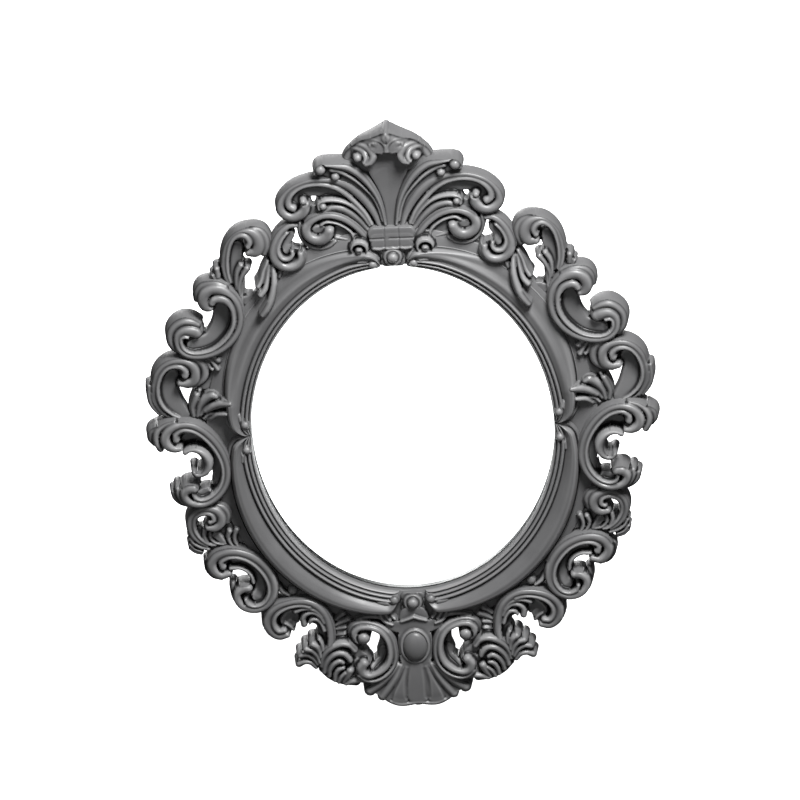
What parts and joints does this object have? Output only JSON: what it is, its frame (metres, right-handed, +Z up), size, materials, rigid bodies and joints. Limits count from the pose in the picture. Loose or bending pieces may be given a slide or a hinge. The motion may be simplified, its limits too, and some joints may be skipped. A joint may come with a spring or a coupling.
{
  "type": "carved picture frame",
  "caption": "Carved oval wall frame with scroll and leaf ornament, crescent sight mouldings, glass, a retaining ring held by turn buttons, and D-ring hangers.",
  "frame": {"origin": "centre of the oval opening, on the back plane of the frame that lies against the wall", "axes": "+X to the right seen from the front, +Z up, the carved front faces -Y, the wall is on the +Y side"},
  "size_m": [0.5112, 0.0384, 0.622],
  "materials": {
    "satin_grey_carving": "carved, satin dark grey finish, darker in the hollows",
    "clear_glass": "clear, polished",
    "brass": "stamped, lightly tarnished",
    "zinc_plated_steel": "zinc plated"
  },
  "bodies": {
    "frame": {"bead_bottom": "satin_grey_carving", "bead_top": "satin_grey_carving", "crest_collar": "satin_grey_carving", "crest_hood": "satin_grey_carving", "crest_panel": "satin_grey_carving", "crest_plume_left": "satin_grey_carving", "crest_plume_right": "satin_grey_carving", "crest_scroll_left": "satin_grey_carving", "crest_scroll_right": "satin_grey_carving", "crest_side_scroll_left": "satin_grey_carving", "crest_side_scroll_right": "satin_grey_carving", "crest_volute_left": "satin_grey_carving", "crest_volute_right": "satin_grey_carving", "flank_scroll_left": "satin_grey_carving", "flank_scroll_right": "satin_grey_carving", "foot_scroll_left": "satin_grey_carving", "foot_scroll_right": "satin_grey_carving", "foot_shell_left": "satin_grey_carving", "foot_shell_right": "satin_grey_carving", "glass": "clear_glass", "hanger_plate_left": "zinc_plated_steel", "hanger_plate_right": "zinc_plated_steel", "hanger_screw_left": "zinc_plated_steel", "hanger_screw_right": "zinc_plated_steel", "hip_scroll_left": "satin_grey_carving", "hip_scroll_right": "satin_grey_carving", "lower_c_scroll_left": "satin_grey_carving", "lower_c_scroll_right": "satin_grey_carving", "moulding_lower_left": "satin_grey_carving", "moulding_lower_right": "satin_grey_carving", "moulding_upper_left": "satin_grey_carving", "moulding_upper_right": "satin_grey_carving", "pendant_cabochon": "satin_grey_carving", "pendant_scroll_left": "satin_grey_carving", "pendant_scroll_right": "satin_grey_carving", "pendant_shell": "satin_grey_carving", "retaining_ring": "satin_grey_carving", "ring_bottom": "satin_grey_carving", "ring_left": "satin_grey_carving", "ring_right": "satin_grey_carving", "ring_top": "satin_grey_carving", "shoulder_scroll_left": "satin_grey_carving", "shoulder_scroll_right": "satin_grey_carving", "turn_button_screw_1": "brass", "turn_button_screw_2": "brass", "turn_button_screw_3": "brass", "turn_button_screw_4": "brass", "upper_c_scroll_left": "satin_grey_carving", "upper_c_scroll_right": "satin_grey_carving", "waist_leaf_left": "satin_grey_carving", "waist_leaf_right": "satin_grey_carving", "waist_scroll_left": "satin_grey_carving", "waist_scroll_right": "satin_grey_carving"},
    "turn_button_1": {"turn_button_1": "brass"},
    "turn_button_2": {"turn_button_2": "brass"},
    "turn_button_3": {"turn_button_3": "brass"},
    "turn_button_4": {"turn_button_4": "brass"},
    "hanger_ring_left": {"hanger_ring_left": "zinc_plated_steel"},
    "hanger_ring_right": {"hanger_ring_right": "zinc_plated_steel"}
  },
  "joints": [
    {"name": "turn_button_1_swivel", "type": "hinge", "parent": "frame", "child": "turn_button_1", "pos_m": [0.1665, 0.00105, 0], "axis": [0, 1, 0], "continuous": true},
    {"name": "turn_button_2_swivel", "type": "hinge", "parent": "frame", "child": "turn_button_2", "pos_m": [0, 0.00105, 0.191], "axis": [0, 1, 0], "continuous": true},
    {"name": "turn_button_3_swivel", "type": "hinge", "parent": "frame", "child": "turn_button_3", "pos_m": [-0.1665, 0.00105, 0], "axis": [0, 1, 0], "continuous": true},
    {"name": "turn_button_4_swivel", "type": "hinge", "parent": "frame", "child": "turn_button_4", "pos_m": [0, 0.00105, -0.191], "axis": [0, 1, 0], "continuous": true},
    {"name": "hanger_ring_left_swing", "type": "hinge", "parent": "frame", "child": "hanger_ring_left", "pos_m": [-0.15726, 0.0029, 0.10379], "axis": [1, 0, 0], "range_deg": [0, 180]},
    {"name": "hanger_ring_right_swing", "type": "hinge", "parent": "frame", "child": "hanger_ring_right", "pos_m": [0.15726, 0.0029, 0.10379], "axis": [1, 0, 0], "range_deg": [0, 180]}
  ]
}
